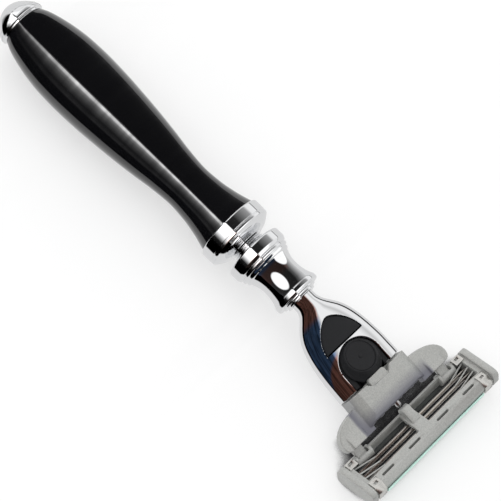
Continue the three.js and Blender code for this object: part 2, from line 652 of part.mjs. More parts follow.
const cartridge = new THREE.Group();
cartridge.position.set(PIVOT_U, 0, PIVOT_W);
cartridge.rotation.y = -THREE.MathUtils.degToRad(CARTRIDGE_TILT);
cartridge.add(
  piece('cartridge_housing', cartridgeHousing(), GREY),
  piece('guard_strip', guardStrip(), RUBBER),
  piece('lube_strip', lubeStrip(), MINT),
  piece('clip_right', clip(), FOIL),
  piece('clip_left', mirrored(clip()), FOIL),
);
BLADE_POSITIONS.forEach((p, i) => {
  cartridge.add(
    piece(`blade_support_${i + 1}`, bladeSupport(p), STEEL),
    piece(`blade_${i + 1}`, blade(p), STEEL),
  );
});
head.add(cartridge);

export default razor;
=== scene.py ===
import json
import math

import bmesh
import bpy
import numpy as np
from mathutils import Matrix, Vector


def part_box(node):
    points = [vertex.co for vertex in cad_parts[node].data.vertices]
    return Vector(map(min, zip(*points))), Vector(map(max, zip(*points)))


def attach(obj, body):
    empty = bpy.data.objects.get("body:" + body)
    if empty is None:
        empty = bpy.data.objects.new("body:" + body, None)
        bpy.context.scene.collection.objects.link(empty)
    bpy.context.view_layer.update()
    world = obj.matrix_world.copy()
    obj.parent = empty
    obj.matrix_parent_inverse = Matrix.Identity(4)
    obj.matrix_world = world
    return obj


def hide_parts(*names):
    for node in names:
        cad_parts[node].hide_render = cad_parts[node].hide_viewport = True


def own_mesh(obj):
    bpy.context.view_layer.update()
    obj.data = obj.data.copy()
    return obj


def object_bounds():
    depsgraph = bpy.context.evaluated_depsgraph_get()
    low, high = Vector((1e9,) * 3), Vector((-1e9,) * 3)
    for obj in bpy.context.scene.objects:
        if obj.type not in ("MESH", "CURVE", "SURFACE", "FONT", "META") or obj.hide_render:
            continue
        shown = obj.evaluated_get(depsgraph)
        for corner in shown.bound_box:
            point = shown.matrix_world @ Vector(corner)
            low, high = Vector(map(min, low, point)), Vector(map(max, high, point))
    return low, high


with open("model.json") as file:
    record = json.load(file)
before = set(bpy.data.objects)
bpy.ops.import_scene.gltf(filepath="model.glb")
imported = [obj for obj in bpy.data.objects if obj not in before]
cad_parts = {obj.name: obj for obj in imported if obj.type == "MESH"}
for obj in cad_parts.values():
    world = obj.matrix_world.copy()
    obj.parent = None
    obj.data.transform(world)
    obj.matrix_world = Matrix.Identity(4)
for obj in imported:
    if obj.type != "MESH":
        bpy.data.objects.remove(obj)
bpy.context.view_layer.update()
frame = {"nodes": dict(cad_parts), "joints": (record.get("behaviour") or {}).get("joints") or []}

NODES = frame["nodes"]
JOINTS = {j["name"]: j for j in frame["joints"]}
MM = 0.001
HINGE_U, HINGE_DROP = 32.54, 0.06  # from the head frame's origin to the cartridge's hinge

# ---- local frames ---------------------------------------------------------------------
# Head frame: u along the head, y across, w up through the button (mm).
# Cartridge frame: p from guard to cap, y along the blades, n to the back, from the hinge.
HEAD_U = Vector(JOINTS["button_slide"]["axis"]).normalized()
HEAD_W = Vector((-HEAD_U.z, 0, HEAD_U.x))
PIVOT = Vector(JOINTS["cartridge_pivot"]["pos_m"])
CART_N = Vector(JOINTS["blade_float_1"]["axis"]).normalized()
CART_P = Vector((CART_N.z, 0, -CART_N.x))
Y = Vector((0, 1, 0))


def frame_matrix(x, y, z, origin):
    m = Matrix((x * MM, y * MM, z * MM)).transposed().to_4x4()
    m.translation = origin
    return m


HANDLE = frame_matrix(Vector((1, 0, 0)), Y, Vector((0, 0, 1)), Vector((0, 0, 0)))
HEAD = frame_matrix(HEAD_U, Y, HEAD_W,
                    PIVOT - HEAD_U * HINGE_U * MM + HEAD_W * HINGE_DROP * MM)
CART = frame_matrix(CART_P, Y, CART_N, PIVOT)


def span(node):
    """Lowest and highest x of a CAD node, in mm along the handle."""
    low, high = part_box(node)
    return low.x / MM, high.x / MM


# ---- node material helpers ------------------------------------------------------------
class Nodes:
    """A material's node tree with short calls for the nodes used here."""

    def __init__(self, name):
        self.material = bpy.data.materials.new(name)
        self.material.use_nodes = True
        self.tree = self.material.node_tree
        self.shader = self.tree.nodes["Principled BSDF"]
        self.coords = self.add("ShaderNodeTexCoord").outputs["Object"]

    def add(self, kind, **settings):
        node = self.tree.nodes.new(kind)
        for key, value in settings.items():
            setattr(node, key, value)
        return node

    def link(self, a, b):
        self.tree.links.new(a, b)

    def put(self, socket, value):
        if hasattr(value, "is_output"):
            self.link(value, socket)
        else:
            socket.default_value = value

    def set(self, **values):
        for key, value in values.items():
            self.put(self.shader.inputs[key.replace("_", " ")], value)
        return self

    def split(self, vector):
        node = self.add("ShaderNodeSeparateXYZ")
        self.link(vector, node.inputs["Vector"])
        return node.outputs

    def stretch(self, scale):
        mapping = self.add("ShaderNodeMapping")
        mapping.inputs["Scale"].default_value = scale
        self.link(self.coords, mapping.inputs["Vector"])
        return mapping.outputs["Vector"]

    def noise(self, scale, detail=3.0, rough=0.5, vector=None):
        n = self.add("ShaderNodeTexNoise")
        n.inputs["Scale"].default_value = scale
        n.inputs["Detail"].default_value = detail
        n.inputs["Roughness"].default_value = rough
        self.link(vector or self.coords, n.inputs["Vector"])
        return n.outputs["Fac"]

    def remap(self, value, low, high, a=0.3, b=0.7):
        r = self.add("ShaderNodeMapRange")
        self.link(value, r.inputs["Value"])
        for key, v in (("From Min", a), ("From Max", b), ("To Min", low), ("To Max", high)):
            r.inputs[key].default_value = v
        return r.outputs["Result"]

    def mix(self, factor, a, b):
        m = self.add("ShaderNodeMix", data_type="RGBA")
        self.put(m.inputs["Factor"], factor)
        self.put(m.inputs["A"], (*a, 1) if isinstance(a, tuple) else a)
        self.put(m.inputs["B"], (*b, 1) if isinstance(b, tuple) else b)
        return m.outputs["Result"]

    def bump(self, height, strength, distance, normal=None):
        b = self.add("ShaderNodeBump")
        b.inputs["Strength"].default_value = strength
        b.inputs["Distance"].default_value = distance
        self.link(height, b.inputs["Height"])
        if normal:
            self.link(normal, b.inputs["Normal"])
        self.link(b.outputs["Normal"], self.shader.inputs["Normal"])
        return b.outputs["Normal"]


def chrome_material():
    m = Nodes("chrome")
    haze = m.remap(m.noise(900, 4), 0.02, 0.05)
    m.set(Base_Color=(0.87, 0.875, 0.885, 1), Metallic=1.0, Roughness=haze)
    m.bump(m.noise(140, 2), 0.02, 0.0002)
    return m.material


def resin_material():
    m = Nodes("black_resin")
    lines = m.noise(260, 3, 0.6, m.stretch((0.05, 1.6, 1.6)))
    m.set(Base_Color=(0.0035, 0.0035, 0.0042, 1), Roughness=0.055, Coat_Weight=0.5,
          Coat_Roughness=0.03)
    m.shader.inputs["Specular IOR Level"].default_value = 0.55
    fine = m.bump(lines, 0.10, 0.00012)
    m.bump(m.noise(55, 2), 0.14, 0.0004, fine)
    return m.material


def steel_material(name, color, low, high, scale=(60, 3, 60)):
    m = Nodes(name)
    grain = m.noise(60, 4, 0.7, m.stretch(scale))
    m.set(Base_Color=m.mix(grain, tuple(c * 0.86 for c in color), color), Metallic=1.0,
          Roughness=m.remap(grain, low, high))
    m.bump(grain, 0.12, 0.00004)
    return m.material


def plastic_material(name, color, dark, rough, grain, metal=0.0, bump=0.25, gloss=0.5,
                     painted_shades=(), shade_half=0.0108):
    """Moulded plastic. Painted shades are (axis, from, to): where its middle part is painted
    darker and bluer, as painted shade.
    """
    m = Nodes(name)
    speck = m.noise(grain, 3, 0.65)
    cloud = m.noise(160, 2)
    tone = m.mix(m.remap(speck, 0.0, 1.0), dark, color)
    tone = m.mix(m.remap(cloud, 0.0, 0.16), tone, tuple(c * 1.25 for c in color))
    place = m.split(m.coords)
    aside = m.add("ShaderNodeMath", operation="ABSOLUTE")
    m.link(place["Y"], aside.inputs[0])
    middle = m.remap(aside.outputs["Value"], 1.0, 0.0, shade_half, shade_half + 0.0006)
    for axis, start, end in painted_shades:
        amount = m.add("ShaderNodeMath", operation="MULTIPLY")
        m.link(m.remap(place[axis], 0.0, 1.0, start, end), amount.inputs[0])
        m.link(middle, amount.inputs[1])
        # painted shade: the tone turns to a darker, bluer grey along each given axis
        tone = m.mix(amount.outputs["Value"], tone,
                     tuple(c * k for c, k in zip(color, (0.36, 0.36, 0.44))))
    m.set(Base_Color=tone, Metallic=metal, Roughness=m.remap(speck, rough - 0.06, rough + 0.08))
    m.shader.inputs["Specular IOR Level"].default_value = gloss
    m.bump(speck, bump, 0.00008)
    return m.material


def mint_material():
    m = Nodes("mint_polymer")
    mottle = m.noise(420, 4, 0.6)
    m.set(Base_Color=m.mix(mottle, (0.50, 0.78, 0.69), (0.66, 0.90, 0.82)), Roughness=0.5,
          Subsurface_Weight=0.15, Subsurface_Radius=(0.0006, 0.0008, 0.0007))
    m.bump(mottle, 0.2, 0.00008)
    return m.material


CHROME = chrome_material()
RESIN = resin_material()
STEEL = steel_material("turned_steel", (0.62, 0.62, 0.63), 0.22, 0.38, (3, 60, 60))
BLADE = steel_material("blade_steel", (0.20, 0.19, 0.18), 0.14, 0.3)
SUPPORT = steel_material("support_steel", (0.74, 0.70, 0.65), 0.2, 0.36)
FOIL = steel_material("aluminium_strip", (0.70, 0.69, 0.66), 0.16, 0.32, (40, 6, 40))
BLACK = plastic_material("black_moulding", (0.017, 0.018, 0.020), (0.011, 0.011, 0.012),
                         0.42, 5200, gloss=0.2)
GREY_LIGHT, GREY_DARK = (0.47, 0.475, 0.455), (0.31, 0.315, 0.305)
GREY = plastic_material("grey_moulding", GREY_LIGHT, GREY_DARK, 0.36, 3400, metal=0.35, bump=0.3)
# The connector's grey, with painted shade on its front edge and on its near side.
DOCK_GREY_PAINTED_SHADE = plastic_material("grey_moulding_dock_painted_shade", GREY_LIGHT, GREY_DARK, 0.36, 3400, metal=0.35,
                             bump=0.3, painted_shades=(("X", 0.1214, 0.1246), ("Y", -0.0078, -0.0104)))
RUBBER = plastic_material("guard_rubber", (0.060, 0.066, 0.064), (0.035, 0.04, 0.038), 0.7, 4000)
MINT = mint_material()

SLOTS = {"chrome": CHROME, "resin": RESIN, "steel": STEEL, "black_plastic": BLACK,
         "grey_plastic": GREY, "rubber": RUBBER, "mint_polymer": MINT, "aluminium": FOIL,
         "blade_steel": BLADE}


# ---- mesh helpers ---------------------------------------------------------------------
WELD = 2e-6  # vertices closer than this, in metres, are one
FLAT = math.radians(1.5)  # faces within this angle of each other are one
AXIS_RADIUS = 0.02  # a turned body never comes closer to its axis than this
CORNER_STEPS = 6
ROD_BORE, STUD_BORE = 2.35, 1.9
TURN_COUNT = 128


def placed(name, mesh):
    obj = bpy.data.objects.new(name, mesh)
    bpy.context.scene.collection.objects.link(obj)
    return obj


def skinned(rows, ring, looped=False):
    """Faces over rows of ring points each, capped at both ends or looped from last to first."""
    faces = []
    for i in range(rows if looped else rows - 1):
        j = (i + 1) % rows
        for k in range(ring):
            n = (k + 1) % ring
            faces.append((i * ring + k, i * ring + n, j * ring + n, j * ring + k))
    if not looped:
        faces.append(tuple(reversed(range(ring))))
        faces.append(tuple((rows - 1) * ring + k for k in range(ring)))
    return faces


def piece(name, verts, faces, matrix, slot, body, replaces=(), sharp=32, material=None):
    """A mesh given in mm in one of the local frames, riding on a body."""
    mesh = bpy.data.meshes.new(name)
    mesh.from_pydata([tuple(v) for v in verts], [], faces)
    mesh.transform(matrix)
    mesh.validate()
    obj = placed(name, mesh)
    finish_piece(obj, slot, body, replaces, sharp, material)
    return obj


def finish_piece(obj, slot, body, replaces=(), sharp=32, material=None):
    obj.data.materials.clear()
    obj.data.materials.append(material or SLOTS[slot])
    obj.data.polygons.foreach_set("use_smooth", [True] * len(obj.data.polygons))
    obj.data.set_sharp_from_angle(angle=math.radians(sharp))
    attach(obj, body)
    if replaces:
        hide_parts(*replaces)


def rounded(points):
    """Polyline with its corners rounded: each point is (x, r) or (x, r, corner length)."""
    out = []
    for i, point in enumerate(points):
        here = np.array(point[:2], float)
        size = point[2] if len(point) > 2 else 0
        if size == 0 or i in (0, len(points) - 1):
            out.append(tuple(here))
            continue
        before, after = (np.array(points[j][:2], float) for j in (i - 1, i + 1))
        a = here + (before - here) * min(1, size / np.linalg.norm(before - here))
        b = here + (after - here) * min(1, size / np.linalg.norm(after - here))
        for t in np.linspace(0, 1, CORNER_STEPS):
            out.append(tuple((1 - t) ** 2 * a + 2 * t * (1 - t) * here + t * t * b))
    return out


def smooth_curve(xs, values, at):
    """Cubic through the values, with slopes that never overshoot."""
    xs, values = np.array(xs, float), np.array(values, float)
    step = np.diff(xs)
    slope = np.diff(values) / step
    m = np.zeros_like(values)
    for i in range(1, len(xs) - 1):
        if slope[i - 1] * slope[i] > 0:
            a, b = 2 * step[i] + step[i - 1], step[i] + 2 * step[i - 1]
            m[i] = (a + b) / (a / slope[i - 1] + b / slope[i])
    m[0], m[-1] = slope[0], slope[-1]
    i = np.clip(np.searchsorted(xs, at) - 1, 0, len(xs) - 2)
    h = step[i]
    t = np.clip((at - xs[i]) / h, 0, 1)
    return ((2 * t**3 - 3 * t**2 + 1) * values[i] + (t**3 - 2 * t**2 + t) * h * m[i]
            + (3 * t**2 - 2 * t**3) * values[i + 1] + (t**3 - t**2) * h * m[i + 1])


def turned(profile, count=TURN_COUNT, bore=0.0):
    """Vertices and faces of a body turned about x, hollow to the bore radius if one is given."""
    line = [(x, max(r, AXIS_RADIUS)) for x, r in profile]
    if bore:
        line = [(line[0][0], bore), *line, (line[-1][0], bore)]
    angle = np.linspace(0, 2 * math.pi, count, endpoint=False)
    verts = [(x, r * math.cos(a), r * math.sin(a)) for x, r in line for a in angle]
    return verts, skinned(len(line), count, bool(bore))


def turned_piece(node, profile, bore=ROD_BORE):
    verts, faces = turned(rounded(profile), bore=bore)
    return piece(node + "_fine", verts, faces, HANDLE, "chrome", "handle", (node,))


def box_mesh(x0, x1, y0, y1, z0, z1):
    verts = [(x, y, z) for x in (x0, x1) for y in (y0, y1) for z in (z0, z1)]
    faces = [(0, 1, 3, 2), (4, 6, 7, 5), (0, 4, 5, 1), (2, 3, 7, 6), (0, 2, 6, 4), (1, 5, 7, 3)]
    return verts, faces


def joined(*parts):
    """Several (verts, faces) pairs as one."""
    verts, faces = [], []
    for v, f in parts:
        base = len(verts)
        verts.extend(v)
        faces.extend(tuple(base + i for i in face) for face in f)
    return verts, faces


def scratch(verts, faces, matrix):
    """A temporary object, used as a cutter."""
    mesh = bpy.data.meshes.new("scratch")
    mesh.from_pydata([tuple(v) for v in verts], [], faces)
    mesh.transform(matrix)
    return placed("scratch", mesh)


def bake(obj):
    """Applies every modifier of obj."""
    view = bpy.context.evaluated_depsgraph_get()
    mesh = bpy.data.meshes.new_from_object(obj.evaluated_get(view))
    obj.modifiers.clear()
    obj.data = mesh


def cut(obj, *cutters):
    for cutter in cutters:
        mod = obj.modifiers.new("cut", "BOOLEAN")
        mod.operation = "DIFFERENCE"
        mod.solver = "EXACT"
        mod.object = cutter
    bpy.context.view_layer.update()
    bake(obj)
    for cutter in cutters:
        bpy.data.objects.remove(cutter)


def prism(outline, z0, z1):
    """Closed prism over a plan outline."""
    n = len(outline)
    verts = [(x, y, z0) for x, y in outline] + [(x, y, z1) for x, y in outline]
    faces = [tuple(reversed(range(n))), tuple(range(n, 2 * n))]
    faces += [(i, (i + 1) % n, n + (i + 1) % n, n + i) for i in range(n)]
    return verts, faces


def welded(node, whole_faces):
    """A copy of a CAD node with its seams closed, and its flat faces made whole if asked."""
    mesh = NODES[node].data.copy()
    bm = bmesh.new()
    bm.from_mesh(mesh)
    bmesh.ops.remove_doubles(bm, verts=bm.verts, dist=WELD)
    if whole_faces:
        bmesh.ops.dissolve_limit(bm, angle_limit=FLAT, verts=bm.verts, edges=bm.edges)
    bm.to_mesh(mesh)
    bm.free()
    return placed(node + "_fine", mesh)


def refined(node, slot, body, width, segments=2, material=None, angle=28):
    """A copy of a CAD node with every edge sharper than the angle rounded."""
    obj = welded(node, True)
    mod = obj.modifiers.new("round", "BEVEL")
    mod.width = width * MM
    mod.segments = segments
    mod.limit_method = "ANGLE"
    mod.angle_limit = math.radians(angle)
    mod.use_clamp_overlap = True
    bpy.context.view_layer.update()
    bake(obj)
    finish_piece(obj, slot, body, (node,), 40, material)
    return obj


# ---- turned handle --------------------------------------------------------------------
# The grip's radii, at its butt end, at these distances past it, and at its collar end.
GRIP_PAST = [0, 1.65, 4.55, 8.75, 13.15, 18.15, 24.15, 30.15, 36.15, 42.15, 47.15, 52.65, 57.15,
             61.15]
GRIP_RADII = [5.55, 6.3, 7.15, 8.0, 8.5, 8.65, 8.47, 8.05, 7.5, 6.78, 6.08, 5.65, 5.95, 6.65, 7.75]
BEADS = 3


def build_handle():
    a, b = span("pommel_cap")
    turned_piece("pommel_cap", [
        (a, 0), (a, 1.6, 0.3), (a + 0.35, 2.4, 0.5), (a + 0.9, 3.3, 0.6), (a + 1.7, 4.15, 0.6),
        (a + 2.5, 4.85, 0.6), (a + 3.3, 5.45, 0.6), (a + 4.1, 5.88, 0.6), (a + 4.7, 6.0, 0.35),
        (a + 5.15, 5.95, 0.2), (a + 5.3, 5.62, 0.12), (b - 0.12, 5.62, 0.1), (b, 5.4)], bore=0)

    a, b = span("grip")
    xs = [a + past for past in GRIP_PAST] + [b]
    at = np.concatenate([np.linspace(a, a + 3, 16), np.linspace(a + 3, b, 120)[1:]])
    verts, faces = turned(list(zip(at, smooth_curve(xs, GRIP_RADII, at))), 160, ROD_BORE)
    piece("grip_fine", verts, faces, HANDLE, "resin", "handle", ("grip",), 60)

    a, b = span("ferrule_collar")
    turned_piece("ferrule_collar", [
        (a, 8.0), (a + 0.08, 8.2, 0.1), (a + 0.28, 8.4, 0.15), (b - 2.95, 8.4, 0.06),
        (b - 2.84, 8.24, 0.05), (b - 2.7, 8.24, 0.05), (b - 2.58, 8.38, 0.06),
        (b - 2.0, 8.3, 0.2), (b - 1.7, 7.9, 0.4), (b - 1.15, 7.2, 0.4), (b - 0.62, 6.35, 0.4),
        (b - 0.3, 5.4, 0.3), (b - 0.16, 4.7, 0.15), (b, 4.6)])

    a, b = span("ring_spacer")
    bead = (b - a) / BEADS
    profile = [(a, 3.3)]
    for i in range(BEADS):
        s = a + i * bead
        profile += [(s + 0.04, 3.35, 0.05), (s + 0.12, 3.85, 0.1), (s + bead / 2, 4.1, 0.14),
                    (s + bead - 0.12, 3.85, 0.1), (s + bead - 0.04, 3.35, 0.05)]
    turned_piece("ring_spacer", profile + [(b, 3.3)])

    a, b = span("neck_baluster")
    turned_piece("neck_baluster", [
        (a, 4.2), (a + 0.1, 6.4, 0.1), (a + 0.3, 6.95, 0.15), (a + 0.6, 7.2, 0.2),
        (81.3, 7.2, 0.12), (81.55, 7.12, 0.1), (82.05, 6.85, 0.2), (82.25, 6.5, 0.08),
        (82.42, 6.45, 0.06), (82.62, 6.6, 0.12), (82.95, 6.5, 0.15), (83.15, 6.1, 0.08),
        (83.35, 6.05, 0.06), (83.6, 6.12, 0.12), (83.9, 5.95, 0.15), (84.1, 5.62, 0.1),
        (84.6, 5.45, 0.3), (85.3, 5.15, 0.5), (86.3, 4.88, 0.6), (87.6, 4.8, 0.7),
        (89.0, 4.88, 0.7), (90.2, 5.1, 0.6), (91.1, 5.38, 0.5), (91.8, 5.72, 0.3),
        (92.2, 5.85, 0.2), (92.95, 5.85, 0.15), (93.2, 5.65, 0.12), (93.28, 4.75, 0.08),
        (93.42, 4.6, 0.06), (93.68, 4.6, 0.08), (93.76, 3.95, 0.06), (93.86, 3.85, 0.05),
        (b - 0.05, 3.85, 0.08), (b, 3.2)], bore=STUD_BORE)


# ---- head -----------------------------------------------------------------------------
HEAD_END = 21.2
BUTTON_U, BUTTON_BASE, BUTTON_TOP = 17.1, 4.85, 3.95
BUTTON_HEIGHT, BUTTON_LEAN, BUTTON_RISE = 1.65, 1.2, 0.7
WELL_U, WELL_RADIUS, WELL_FLOOR = 17.3, 5.6, 1.4
PAD_START, PAD_END, PAD_HALF, PAD_POWER, PAD_TOP = 4.65, 11.4, 5.5, 1.6, 1.95
PAD_RECESS, WELL_EDGE, RIM_BLEND = 0.95, 0.25, 0.14
POCKET = (11.1, HEAD_END + 1, -6.6, 6.6, -2.7, 0.9)
SCREW_U = 20.0
SCREW_HOLE = [(-7, 1.62), (-3.5, 1.62), (-3.4, 0.95), (-2, 0.95)]
TONGUE_HALF, BOSS_HALF, BOSS_TOP, FRONT = 2.55, 1.6, 2.65, 6
STEM_Y, STEM_HALF, STEM_REACH = 3.4, 0.4, 1.2
END_INSET = [(0.06, 0.02), (0.02, 0.06), (0, 0.12)]  # the rounded front edge: (from end, inset)
STATIONS = np.array([  # along, centre height, half-width, half-height, squareness, lean
    (-1.62, -0.31, 2.9, 2.9, 2.0, 11), (-0.4, -0.1, 2.9, 2.9, 2.0, 8),
    (0.8, -0.02, 3.3, 3.05, 2.05, 5), (2.0, -0.15, 4.2, 3.2, 2.1, 2),
    (3.2, -0.4, 5.25, 3.25, 2.2, 0), (4.6, -0.65, 6.3, 3.3, 2.3, 0),
    (6.2, -0.85, 7.15, 3.35, 2.4, 0), (8.2, -0.95, 7.85, 3.37, 2.5, 0),
    (10.6, -1.0, 8.4, 3.37, 2.6, 0), (13.4, -1.02, 8.8, 3.37, 2.7, 0),
    (16.4, -1.02, 9.05, 3.37, 2.8, 0), (19.2, -1.02, 9.15, 3.37, 2.8, 0),
    (HEAD_END, -1.02, 9.2, 3.37, 2.8, 0)])


def smoothstep(t):
    t = np.clip(t, 0, 1)
    return t * t * (3 - 2 * t)


def pad_distance(u, y):
    """Signed distance to the outline of the thumb pad, negative inside."""
    back = np.clip(PAD_END - u, 0, None) / (PAD_END - PAD_START)
    side = np.abs(y) / PAD_HALF
    curve = ((back**PAD_POWER + side**PAD_POWER) ** (1 / PAD_POWER) - 1) * 5.4
    return np.maximum(curve, u - PAD_END)


def well_distance(u, y):
    round_end = np.hypot(u - WELL_U, y) - WELL_RADIUS
    return np.where(u > WELL_U, np.abs(y) - WELL_RADIUS, round_end)


def head_skin(along=230, around=360):
    """The head's outer skin, hollowed where the pad lies and round the rim of the well."""
    plain = along - len(END_INSET)
    us = np.linspace(STATIONS[0, 0], HEAD_END - 0.12, plain)
    us = np.concatenate([us, [HEAD_END - past for past, _ in END_INSET]])
    inset = np.concatenate([np.zeros(plain), [depth for _, depth in END_INSET]])
    z, b, h, n, lean = (smooth_curve(STATIONS[:, 0], STATIONS[:, k], us) for k in range(1, 6))
    b, h = b - inset, h - inset
    angle = np.linspace(0, 2 * math.pi, around, endpoint=False)
    c, s = np.cos(angle)[None], np.sin(angle)[None]
    power = (2 / n)[:, None]
    y = b[:, None] * np.sign(c) * np.abs(c) ** power
    up = h[:, None] * np.sign(s) * np.abs(s) ** power
    tilt = np.radians(lean)[:, None]
    u = us[:, None] - up * np.sin(tilt)
    w = z[:, None] + up * np.cos(tilt)
    facing = smoothstep((up / h[:, None] - 0.25) / 0.3)
    pad = PAD_RECESS * smoothstep((RIM_BLEND - pad_distance(u, y)) / 0.28)
    well = WELL_EDGE * smoothstep((RIM_BLEND - well_distance(u, y)) / 0.3)
    w = w - facing * np.maximum(pad, well)
    return np.stack([u, y, w], -1).reshape(-1, 3), skinned(len(us), around)


def well_outline(radius, front):
    angle = np.linspace(math.pi / 2, 1.5 * math.pi, 49)
    arc = [(WELL_U + radius * math.cos(a), radius * math.sin(a)) for a in angle]
    return [(front, -radius), (front, radius), *arc]


def build_head():
    verts, faces = head_skin()
    shell = scratch(verts, faces, HEAD)
    shell.name = "head_shell_fine"
    upright = HEAD @ Matrix(((0, 0, 1, SCREW_U), (0, 1, 0, 0), (1, 0, 0, 0), (0, 0, 0, 1)))
    cut(shell,
        scratch(*prism(well_outline(WELL_RADIUS - 0.08, HEAD_END + 2), -1, 6), HEAD),
        scratch(*box_mesh(*POCKET), HEAD),
        scratch(*turned(SCREW_HOLE, 48), upright))
    finish_piece(shell, "chrome", "handle", ("head_shell",), 34)


def layered(outline, levels):
    """Closed body over a plan outline: each level is (share of the outline, height)."""
    centre = np.mean(outline, axis=0)
    verts = [(*(centre + (np.array(p) - centre) * share), height)
             for share, height in levels for p in outline]
    return verts, skinned(len(levels), len(outline))


def build_pad():
    """Soft arch-shaped plate, slightly crowned, with a rounded edge."""
    gap, power = 0.15, 2 / PAD_POWER
    outline = []
    for a in np.linspace(-math.pi / 2, math.pi / 2, 61):
        c, s = math.cos(a), math.sin(a)
        outline.append((PAD_END - gap - (PAD_END - PAD_START - 2 * gap) * abs(c) ** power,
                        (gap - PAD_HALF) * math.copysign(abs(s) ** power, s)))
    edge = [(0.98, -0.5), (1.0, -0.42), (1.0, -0.16), (0.992, -0.06), (0.975, -0.02), (0.95, 0)]
    levels = [(share, PAD_TOP + rise) for share, rise in edge]
    levels += [(s, PAD_TOP + 0.1 * (1 - s * s)) for s in (0.8, 0.6, 0.4, 0.2, 0.05)]
    verts, faces = layered(outline, levels)
    piece("thumb_pad_fine", verts, faces, HEAD, "black_plastic", "handle", ("thumb_pad",), 50)


def build_button():
    """Round push button: skirt, drafted wall, flat top with a rim line and a small nub."""
    base = WELL_FLOOR + 0.25
    top, skirt, rim = base + BUTTON_HEIGHT, BUTTON_BASE, BUTTON_TOP
    profile = rounded([
        (base, 0), (base, skirt - 0.1, 0.04), (base + 0.1, skirt, 0.05),
        (base + 0.45, skirt, 0.06), (base + 0.55, skirt - 0.2, 0.06),
        (base + 0.7, skirt - 0.4, 0.08), (top - 0.28, rim + 0.02, 0.1),
        (top - 0.1, rim - 0.1, 0.08), (top, rim - 0.3, 0.09), (top, rim - 0.42, 0.05),
        (top - 0.13, rim - 0.5, 0.04), (top - 0.15, rim - 0.62, 0.04),
        (top - 0.05, rim - 0.72, 0.04), (top - 0.07, 1.6, 0.3), (top - 0.11, 0.5, 0.04),
        (top - 0.1, 0.42, 0.02), (top - 0.02, 0.36, 0.03), (top, 0.2, 0.05), (top, 0)])
    verts, faces = turned(profile, 144)
    body = []
    for h, x, y in verts:
        share = (h - base) / BUTTON_HEIGHT
        body.append((BUTTON_U + x - BUTTON_LEAN * share, y, h + BUTTON_RISE * (x / rim) * share))
    shell = scratch(body, faces, HEAD)
    shell.name = "release_button_fine"
    notch, front, under = TONGUE_HALF + 0.2, BUTTON_U + FRONT, base - 0.1
    cut(shell,
        scratch(*box_mesh(BUTTON_U + 3.75, front, -notch, notch, under, top + 2), HEAD),
        scratch(*box_mesh(BUTTON_U - 0.4, front, -BOSS_HALF, BOSS_HALF, under, BOSS_TOP), HEAD))
    finish_piece(shell, "black_plastic", "button", (), 36)
    stems = joined(*(box_mesh(BUTTON_U - STEM_REACH, BUTTON_U + STEM_REACH, y - STEM_HALF,
                              y + STEM_HALF, -0.1, base + 0.01) for y in (-STEM_Y, STEM_Y)))
    piece("release_button_stems", *stems, HEAD, "black_plastic", "button", ("release_button",))


# ---- remeshed mouldings ---------------------------------------------------------------
def softened(node, slot, body, voxel, passes, material):
    """A CAD node as a dense even mesh with its edges worn round, kept inside the CAD faces."""
    obj = welded(node, False)
    remesh = obj.modifiers.new("remesh", "REMESH")
    remesh.mode = "VOXEL"
    remesh.voxel_size = voxel * MM
    smooth = obj.modifiers.new("smooth", "SMOOTH")
    smooth.factor = 0.5
    smooth.iterations = passes
    bpy.context.view_layer.update()
    bake(obj)
    finish_piece(obj, slot, body, (node,), 180, material)
    return obj


def build_mouldings():
    softened("connector", "grey_plastic", "connector", 0.11, 5, DOCK_GREY_PAINTED_SHADE)
    refined("cartridge_housing", "grey_plastic", "cartridge", 0.09, 2)
    refined("lube_strip", "mint_polymer", "cartridge", 0.12, 3)
    refined("chassis_insert", "black_plastic", "handle", 0.08, 1)
    for side in ("clip_left", "clip_right"):
        refined(side, "aluminium", "cartridge", 0.05, 1, angle=50)
    for i in (1, 2, 3):
        refined(f"blade_support_{i}", "blade_steel", f"blade_unit_{i}", 0.03, 2, SUPPORT)


# ---- guard and blades -----------------------------------------------------------------
BLADE_P = (2.3, 3.75, 5.2)  # place of each blade between guard and cap
BLADE_OUTLINE = [(-0.1, -1.32), (-0.12, -1.45), (-0.62, -1.69), (-1.05, -1.88), (-1.18, -2.0),
                 (-1.08, -1.82), (-1.02, -1.74)]
BLADE_HALF = 17.9
FIN_P, FIN_HALF, FIN_ROWS = (0.12, 0.42, 0.72), 16.2, 163
FIN_ROOT, FIN_CREST, FIN_WAVE = -1.7, -2.2, 0.06


def build_guard():
    """Soft strip: a flat base and a row of thin flexible fins across the shaving side."""
    parts = [box_mesh(0.1, 0.95, -BLADE_HALF, BLADE_HALF, -1.85, -1.45)]
    parts += [fin(p) for p in FIN_P]
    piece("guard_strip_fine", *joined(*parts), CART, "rubber", "cartridge", ("guard_strip",))


def fin(p):
    """One fin, wider at its root, with a wavy crest."""
    verts = []
    for i, y in enumerate(np.linspace(-FIN_HALF, FIN_HALF, FIN_ROWS)):
        crest = FIN_CREST + (FIN_WAVE if i % 2 else 0.0)
        verts += [(p - 0.01, y, FIN_ROOT), (p + 0.19, y, FIN_ROOT), (p + 0.13, y, crest),
                  (p + 0.04, y, crest)]
    return verts, skinned(FIN_ROWS, 4)


def build_blades():
    """Thin ground strips under the ledges of the supports."""
    ys = np.linspace(-BLADE_HALF, BLADE_HALF, 24)
    for i, p in enumerate(BLADE_P, 1):
        verts = [(p + x, y, z) for y in ys for x, z in BLADE_OUTLINE]
        piece(f"blade_{i}_fine", verts, skinned(len(ys), len(BLADE_OUTLINE)), CART,
              "blade_steel", f"blade_unit_{i}", (f"blade_{i}",), 20)


# ---- hidden pieces --------------------------------------------------------------------
# (spring, joint that pushes on it, u and w of its fixed end, share of its length left)
SPRINGS = [("button_spring", "button_slide", 18.7, -0.6, 0.36),
           ("plunger_spring", "cartridge_pivot", 20.65, 1.2, 0.52)]


